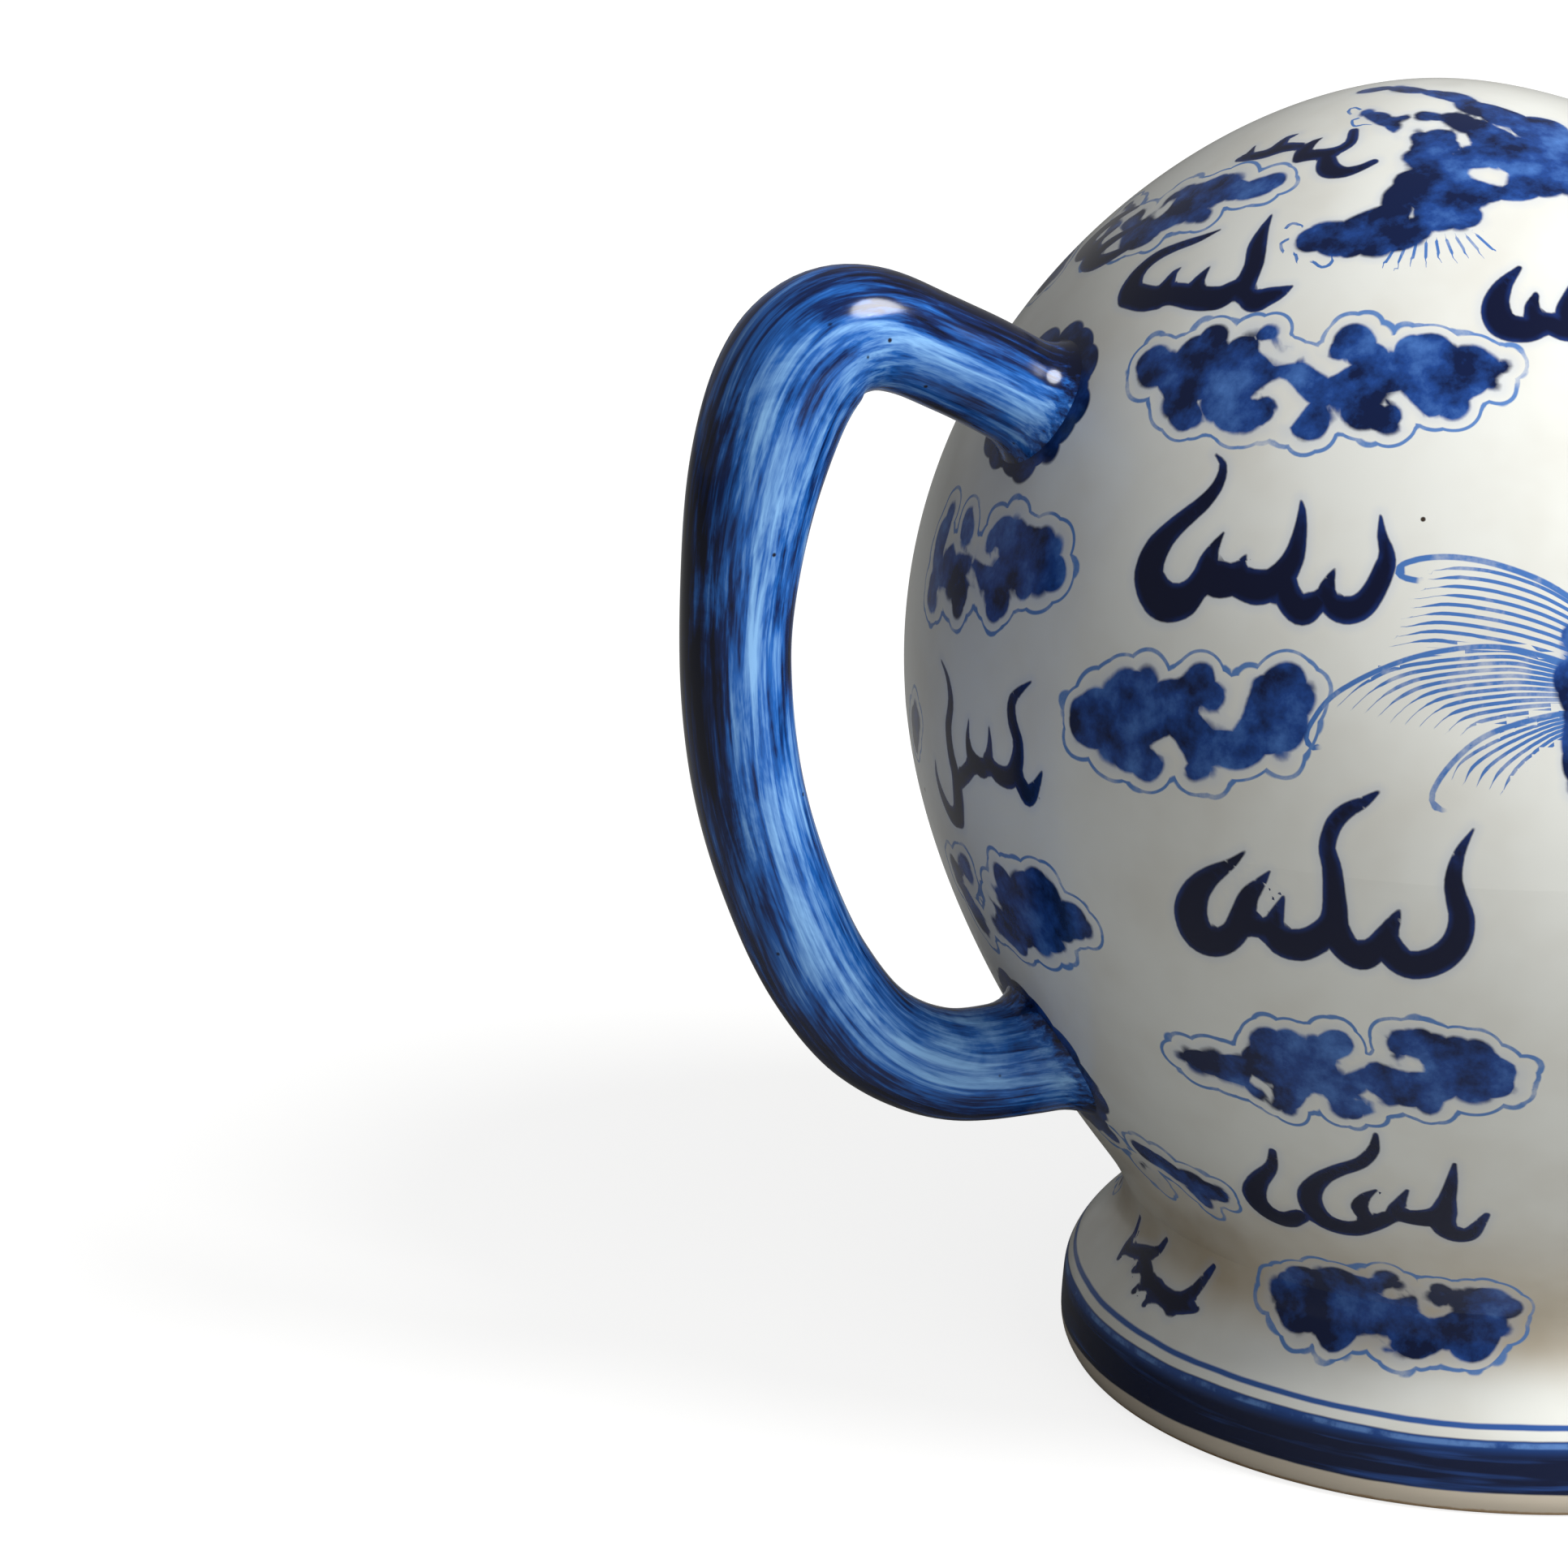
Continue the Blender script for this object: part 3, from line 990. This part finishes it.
def rootStrokes():
    # the cobalt runs a little way from the roots of the handle and of the spout on to the body
    rod, thickness = handleRod()
    strokes = []
    for line, radius, sizes in ((rod, thickness / 2, handle), (*spoutRod(), spout)):
        middle = np.column_stack([upright(line), radius + sizes["padSpread"]])
        near = np.abs(outsidePot(middle[:, :3])) < rodSink
        high = line[:, 1] > body["bellyHeight"]
        strokes += [middle[near & side][::3] for side in (high, ~high) if (near & side).any()]
    return strokes


print("painting")
# degrees by which a motif is repeated round the pot: all four sides, if it isn't listed
allRound, notAtRight = (0, 90, 180, 270), (0, 180, 270)
turns = {
    "lion": (0,), "tailed lion": (0,), "beside the lion": (0,),
    "uphill cloud": (0, 180), "under the uphill cloud": (0, 180), "small cloud by the handle": notAtRight,
    "low by the handle": notAtRight, "cloud at the edge": notAtRight,
}
paintedClouds = {name: {part: [onPot(s) for s in strokes] for part, strokes in cloud.items()}
                 for name, cloud in {**clouds, "lion": lion, "tailed lion": tailedLion}.items()}
paintedFlames = {name: [onPot(s, 0.13) for s in strokes] for name, strokes in flames.items()}
for piece in (dome, bowl, footPiece):
    paintPiece(piece)

paintedPorcelain = {
    "ground": "#e2e3dd",      # a cool greyish white, as thick glaze over hard paste gives
    "groundShade": "#d9d8d0", "neckShade": "#a89678",
    "washDark": "#0a1a42", "washMiddle": "#1f458c", "washPale": "#4c79bf",
    "bleed": "#b4c0d6", "outline": "#5b82bd", "hair": "#4a76b8", "ink": "#070f2e", "inkEdge": "#16306f",
    "thinLine": "#345a9e", "band": "#0a1738", "bandPale": "#2a4f94", "strip": "#cfc4b2",
    "bare": "#a98f70", "iron": "#3a3028",
    "ringGap": 1.3, "ringWidth": 0.22,   # mm from the wash to the outline, and its half width
    "mottle": 4.5, "blotch": 13, "fine": 1.2, "speck": 9, "lobe": 3.4, "brushMark": 0.9,   # mm
}


def makePaintedPorcelain():
    # hard-paste porcelain, thrown, brushed with cobalt and dipped in clear glaze: the blue lies
    # under the gloss, runs softly at its edges and pools darker where the brush stopped
    p = paintedPorcelain
    material, surface = newMaterial("hard paste porcelain painted in underglaze cobalt")
    node = partial(addNode, material)
    soft = {"interpolation_type": "SMOOTHSTEP"}
    place = node("TexCoord").outputs["Object"]
    edge = {name: node("Attribute", attribute_name=name).outputs["Fac"]
            for name in ("wash", "ring", "ink", "inkWidth", "pad", "hairWidth", "outside")}
    away = {name: node("Attribute", attribute_name=name).outputs["Vector"]
            for name in ("inkAway", "hairPlace", "curlPlace")}
    mottle, blotch, fine = (
        node("TexNoise", {"Vector": place, "Scale": 1 / (p[size] * mm), "Detail": detail, "Roughness": rough})
        for size, detail, rough in (("mottle", 5.0, 0.6), ("blotch", 3.0, 0.5), ("fine", 3.0, 0.5)))
    height = node("Math", (node("SeparateXYZ", (place,)).outputs["Z"], 1000.0), operation="MULTIPLY")
    # what lies over the ground, each with its colour and its cover
    layers = [(p["groundShade"], node("MapRange", (blotch, 0.35, 0.75), **soft))]
    # the glaze pooled in the hollow of the neck and browned a little
    over = node("MapRange", (height, 38.0, 19.0), **soft)
    under = node("MapRange", (height, 11.5, 17.0), **soft)
    pooled = node("Math", (over, under), operation="MULTIPLY")
    uneven = node("MapRange", (blotch, 0.3, 0.7, 0.5, 0.85))
    layers.append((p["neckShade"], node("Math", (pooled, uneven), operation="MULTIPLY")))
    # round lobes push the edge of the wash in and out
    lobes = node("TexVoronoi", {"Vector": place, "Scale": 1 / (p["lobe"] * mm)})
    rounded = node("Math", (lobes, 2.0), operation="POWER")
    push = node("Math", (rounded, 1.7, -0.42), operation="MULTIPLY_ADD")
    washEdge = node("Math", (edge["wash"], push), operation="ADD")
    ringEdge = node("Math", (edge["ring"], push), operation="ADD")
    # a faint blue bleed round everything that is painted
    closest = node("Math", (edge["ink"], washEdge), operation="MINIMUM")
    layers.append((p["bleed"], node("MapRange", (closest, 1.2, -0.2, 0.0, 0.3), **soft)))
    # hairs: a fan's place across is halfway between two whole numbers in the middle of each hair
    hair, along, fan = node("SeparateXYZ", (away["hairPlace"],)).outputs
    chance = node("TexWhiteNoise", {"W": node("Math", (hair,), operation="FLOOR")}, noise_dimensions="1D")
    late = node("Math", (chance, -0.12, along), operation="MULTIPLY_ADD")
    taper = node("MapRange", (late, 0.0, 0.16, 0.1, 1.0), **soft)
    off = node("Math", (hair, 0.5), operation="PINGPONG")
    inHair = node("Math", (edge["hairWidth"], taper, off), operation="MULTIPLY_ADD")
    hairCover = node("MapRange", (inHair, 0.45, 0.53), **soft)
    # lone lines: the place across is in half widths
    lineOff, lineAlong, line = node("SeparateXYZ", (away["curlPlace"],)).outputs
    lineCover = node("MapRange", (node("Math", (lineOff,), operation="ABSOLUTE"), 1.3, 0.8), **soft)
    for cover, start, family in ((hairCover, along, fan), (lineCover, lineAlong, line)):
        # only where all corners of a face belong to the same fan or line
        strange = node("Math", (family, 0.5), operation="PINGPONG")
        for share in (
            node("Math", (strange, 0.004), operation="LESS_THAN"),
            node("Math", (family, 0.5), operation="GREATER_THAN"),
            node("MapRange", (start, 0.004, 0.025)), node("MapRange", (mottle, 0.15, 0.48)),
        ):
            cover = node("Math", (cover, share), operation="MULTIPLY")
        layers.append((p["hair"], cover))
    # the outline round a cloud
    gap = node("Math", (blotch, 0.9, p["ringGap"] - 0.45), operation="MULTIPLY_ADD")
    ringOff = node("Math", (ringEdge, gap), operation="SUBTRACT")
    ringOff = node("Math", (ringOff,), operation="ABSOLUTE")
    ringCover = node("MapRange", (ringOff, p["ringWidth"] + 0.09, p["ringWidth"] - 0.08), **soft)
    uneven = node("MapRange", (mottle, 0.15, 0.55), **soft)
    layers.append((p["outline"], node("Math", (ringCover, uneven), operation="MULTIPLY")))
    # the wash, in three strengths
    strength = node("Math", (blotch, 0.66), operation="MULTIPLY")
    strength = node("Math", (mottle, strength), operation="ADD")
    strength = node("Math", (strength, 0.6), operation="MULTIPLY")
    tone = node("ValToRGB", (strength,))
    stops = tone.color_ramp.elements
    stops[0].position, stops[0].color = 0.43, hexColour(p["washDark"])
    stops[1].position, stops[1].color = 0.66, hexColour(p["washPale"])
    stops.new(0.53).color = hexColour(p["washMiddle"])
    washEdge = node("Math", (fine, 0.3, washEdge), operation="MULTIPLY_ADD")
    layers.append((tone.outputs[0], node("MapRange", (washEdge, 0.37, -0.15), **soft)))
    # the dark strokes of the flames; thin ones go by the way to their middle
    thinEdge = node("VectorMath", (away["inkAway"],), operation="LENGTH").outputs["Value"]
    thinEdge = node("Math", (thinEdge, edge["inkWidth"]), operation="SUBTRACT")
    for share, most in ((edge["ink"], 0.4), (edge["inkWidth"], 0.55)):
        far = node("Math", (share, most), operation="GREATER_THAN")
        thinEdge = node("Math", (far, 9.0, thinEdge), operation="MULTIPLY_ADD")
    inkEdge = node("Math", (edge["ink"], thinEdge), operation="MINIMUM")
    inkEdge = node("Math", (fine, 0.1, inkEdge), operation="MULTIPLY_ADD")
    inkCover = node("MapRange", (inkEdge, 0.16, -0.08), **soft)
    layers.append((p["ink"], inkCover))
    rim = node("MapRange", (edge["ink"], -0.7, 0.0), **soft)
    rim = node("Math", (rim, inkCover), operation="MULTIPLY")
    rim = node("Math", (rim, node("MapRange", (mottle, 0.3, 0.7), **soft)), operation="MULTIPLY")
    layers.append((p["inkEdge"], rim))
    # the blue of handle and spout runs on to the body in a scalloped edge
    padEdge = node("Math", (blotch, 1.6, edge["pad"]), operation="MULTIPLY_ADD")
    padEdge = node("Math", (rounded, 2.0, padEdge), operation="MULTIPLY_ADD")
    padCover = node("MapRange", (padEdge, 1.5, 1.1), **soft)
    layers.append((p["washDark"], padCover))
    uneven = node("MapRange", (mottle, 0.4, 0.7), **soft)
    layers.append((p["washMiddle"], node("Math", (padCover, uneven), operation="MULTIPLY")))
    # rings of paint round the foot, by height, with the marks of the turning brush
    wavy = node("Math", (blotch, 0.5, height), operation="MULTIPLY_ADD")
    stretched = node("Mapping", {"Vector": place, "Scale": (0.05, 0.05, 1.0)})
    marks = node("TexNoise", {"Vector": stretched, "Scale": 1 / (p["brushMark"] * mm), "Detail": 3.0})
    for colour, low, high, softness, uneven in (
        (p["thinLine"], 9.4, 9.9, 0.2, None),
        (p["strip"], 0.2, 3.0, 0.2, None),
        (p["band"], 2.95, 8.5, 0.25, None),
        (p["bandPale"], 7.6, 8.45, 2.2, None),
        (p["bandPale"], 2.95, 8.5, 0.25, node("MapRange", (marks, 0.5, 0.75, 0.0, 0.75), **soft)),
        (p["outline"], 7.8, 8.3, 0.25, node("MapRange", (mottle, 0.42, 0.6), **soft)),
    ):
        start = node("MapRange", (wavy, low - softness / 2, low + softness / 2), **soft)
        crisp = min(softness, 0.3)
        end = node("MapRange", (wavy, high + crisp / 2, high - crisp / 2), **soft)
        cover = node("Math", (start, end), operation="MULTIPLY")
        cover = node("Math", (cover, edge["outside"]), operation="MULTIPLY")
        if uneven:
            cover = node("Math", (cover, uneven), operation="MULTIPLY")
        layers.append((colour, cover))
    ragged = node("Math", (fine, 0.5, height), operation="MULTIPLY_ADD")
    bare = node("MapRange", (ragged, 1.0, 0.7), **soft)
    layers.append((p["bare"], bare))
    # a few iron specks
    specks = node("TexVoronoi", {"Vector": place, "Scale": 1 / (p["speck"] * mm)})
    chosen = node("SeparateColor", (specks.outputs["Color"],))
    chosen = node("Math", (chosen, 0.72), operation="GREATER_THAN")
    spot = node("MapRange", (specks, 0.035, 0.02), **soft)
    layers.append((p["iron"], node("Math", (spot, chosen), operation="MULTIPLY")))
    colour = hexColour(p["ground"])
    for over, cover in layers:
        over = hexColour(over) if isinstance(over, str) else over
        colour = node("Mix", {0: cover, 6: colour, 7: over}, data_type="RGBA").outputs[2]
    rough = node("MapRange", (bare, 0.0, 1.0, 0.2, 0.75))
    ripple = node("Bump", {"Height": blotch, "Strength": 0.12, "Distance": 0.3 * mm})
    made = {"Base Color": colour, "Roughness": rough.outputs[0], "Normal": ripple.outputs[0]}
    for name, socket in made.items():
        material.node_tree.links.new(socket, surface.inputs[name])
    surface.inputs["IOR"].default_value = 1.5
    surface.inputs["Specular IOR Level"].default_value = 0.3
    return material


cobaltGlaze = {
    "black": "#050b24", "navy": "#0c2659", "cobalt": "#2261b2", "pale": "#86b8ea",
    "brushMark": 0.8, "brushRun": 14, "cloud": 6, "speck": 4.5,   # mm
    # how thin the wash lies round the rod, from the outside to the side towards the body
    "thinness": [(0.03, 0.15), (0.2, 0.4), (0.34, 0.68), (0.5, 1.0), (0.64, 0.85), (0.97, 0.62)],
}


def makeCobaltGlaze():
    # the same porcelain washed all over with cobalt: the brush ran along the rod and left streaks,
    # the blue thinned to pale along the flanks and pooled nearly black on the outside
    c = cobaltGlaze
    material, surface = newMaterial("porcelain washed all over with cobalt under clear glaze")
    node = partial(addNode, material)
    place = node("Attribute", attribute_name="rodPlace").outputs["Vector"]
    side = node("Attribute", attribute_name="side").outputs["Fac"]
    flare = node("Attribute", attribute_name="flare").outputs["Fac"]
    across, size = 1 / c["brushMark"], 1 / c["cloud"]
    drawn = node("Mapping", {"Vector": place, "Scale": (1 / c["brushRun"], across, across)})
    pulled = node("Mapping", {"Vector": place, "Scale": (0.4 / c["cloud"], size, size)})
    streaks, clouded = (
        node("TexNoise", {"Vector": run, "Scale": 1.0, "Detail": fine, "Roughness": rough, "Distortion": b})
        for run, fine, rough, b in ((drawn, 4.0, 0.6, 0.3), (pulled, 5.0, 0.65, 0.6))
    )
    thin = node("ValToRGB", (node("MapRange", (side, -1.0, 1.0)),))
    share = node("Math", (clouded, 0.45, -0.19), operation="MULTIPLY_ADD")
    share = node("Math", (streaks, 0.55, share), operation="MULTIPLY_ADD")
    share = node("Math", (thin, 0.26, share), operation="MULTIPLY_ADD")
    # thick again where the roots spread
    pooled = node("MapRange", (flare, 0.2, 1.2, 0.0, 0.06), interpolation_type="SMOOTHSTEP")
    share = node("Math", (share, pooled), operation="SUBTRACT")
    tone = node("ValToRGB", (share,))
    tones = [(0.34, c["black"]), (0.42, c["navy"]), (0.51, c["cobalt"]), (0.66, c["pale"])]
    for ramp, stops in ((thin, [(s, (grey, grey, grey, 1)) for s, grey in c["thinness"]]),
                        (tone, [(s, hexColour(shade)) for s, shade in tones])):
        elements = ramp.color_ramp.elements
        for position, shade in stops:
            elements.new(position).color = shade
        elements.remove(elements[0])
        elements.remove(elements[-1])
    # small dark flaws in the glaze
    specks = node("TexVoronoi", {"Vector": place, "Scale": 1 / c["speck"]})
    flaw = node("MapRange", (specks, 0.07, 0.03), interpolation_type="SMOOTHSTEP")
    spotted = node("Mix", {0: flaw, 6: tone, 7: hexColour(c["black"])}, data_type="RGBA")
    material.node_tree.links.new(spotted.outputs[2], surface.inputs["Base Color"])
    surface.inputs["Roughness"].default_value = 0.14
    surface.inputs["IOR"].default_value = 1.5
    surface.inputs["Specular IOR Level"].default_value = 0.4
    return material


def makeBarePorcelain():
    # unglazed fired paste: matt, a warm grey white with a fine tooth
    material, surface = newMaterial("unglazed fired porcelain paste")
    place = addNode(material, "TexCoord").outputs["Object"]
    grain = addNode(material, "TexNoise", {"Vector": place, "Scale": 1 / (1.5 * mm), "Detail": 4.0})
    tone = addNode(material, "ValToRGB", (grain,))
    tone.color_ramp.elements[0].color = hexColour("#c9bfae")
    tone.color_ramp.elements[1].color = hexColour("#ded6c8")
    material.node_tree.links.new(tone.outputs["Color"], surface.inputs["Base Color"])
    surface.inputs["Roughness"].default_value = 0.75
    return material


print("materials")
paintedMaterial = makePaintedPorcelain()
cobaltMaterial = makeCobaltGlaze()
bareMaterial = makeBarePorcelain()

for piece, nodes, slot, material in (
    (dome, ["body_dome"], "painted_porcelain", paintedMaterial),
    (bowl, ["body_bowl"], "painted_porcelain", paintedMaterial),
    (footPiece, ["foot_ring"], "painted_porcelain", paintedMaterial),
    (tubePiece, ["filling_tube"], "bare_porcelain", bareMaterial),
    (handlePiece, ["handle", "handle_root_upper", "handle_root_lower"], "cobalt_glaze", cobaltMaterial),
    (spoutPiece, ["spout", "spout_collar"], "cobalt_glaze", cobaltMaterial),
):
    piece.data.materials.clear()
    piece.data.materials.append(material)
    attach(piece, "root")
    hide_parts(*nodes)
    print(piece.name, len(piece.data.polygons), "faces")


def makeCamera():
    c = camera
    data = bpy.data.cameras.new("camera")
    data.sensor_width = 36
    data.lens = c["focalPixels"] / c["imageSize"] * data.sensor_width
    right, up, back, place = cameraAxes()
    thing = bpy.data.objects.new("camera", data)
    bpy.context.scene.collection.objects.link(thing)
    thing.matrix_world = Matrix.Translation(place * mm) @ Matrix((right, up, back)).transposed().to_4x4()
    bpy.context.scene.camera = thing


def makeLamp(name, place, size, watts, glossy):
    data = bpy.data.lights.new(name, "AREA")
    data.shape = "DISK"
    data.size = size
    data.energy = watts
    lamp = bpy.data.objects.new(name, data)
    bpy.context.scene.collection.objects.link(lamp)
    lamp.location = place
    lamp.rotation_euler = (Vector((0, 0, 0.07)) - Vector(place)).to_track_quat("-Z", "Y").to_euler()
    lamp.visible_glossy = glossy


print("camera, lamps and floor")
makeCamera()
makeLamp("soft key", (0.45, -0.55, 0.8), 0.5, 12, True)
makeLamp("soft fill", (0.2, -0.95, 0.3), 0.8, 3.6, False)
world = bpy.data.worlds.new("pale studio")
bpy.context.scene.world = world
world.use_nodes = True
world.node_tree.nodes["Background"].inputs["Color"].default_value = hexColour("#ffffff")
world.node_tree.nodes["Background"].inputs["Strength"].default_value = 0.25


def makeFloor():
    # white paper: what the eye sees of it is lifted to white further from the pot, the shadow stays
    bpy.ops.object.select_all(action="DESELECT")
    bpy.ops.mesh.primitive_plane_add(size=6)
    floor = bpy.context.object
    floor.name = "floor"
    material, surface = newMaterial("pale studio paper")
    surface.inputs["Base Color"].default_value = hexColour("#a4a4a2")
    surface.inputs["Specular IOR Level"].default_value = 0.0
    node = partial(addNode, material)
    distance = node("VectorMath", (node("TexCoord").outputs["Object"],), operation="LENGTH")
    lift = node("MapRange", (distance.outputs["Value"], 0.1, 1.2, 0.8, 1.0))
    rays = node("LightPath").outputs
    seen = node("Math", (rays["Is Camera Ray"], rays["Is Transmission Ray"]), operation="MAXIMUM")
    glow = node("Math", (lift, seen), operation="MULTIPLY")
    surface.inputs["Emission Color"].default_value = hexColour("#ffffff")
    material.node_tree.links.new(glow.outputs[0], surface.inputs["Emission Strength"])
    floor.data.materials.append(material)


makeFloor()
bpy.context.scene.view_settings.view_transform = "Standard"
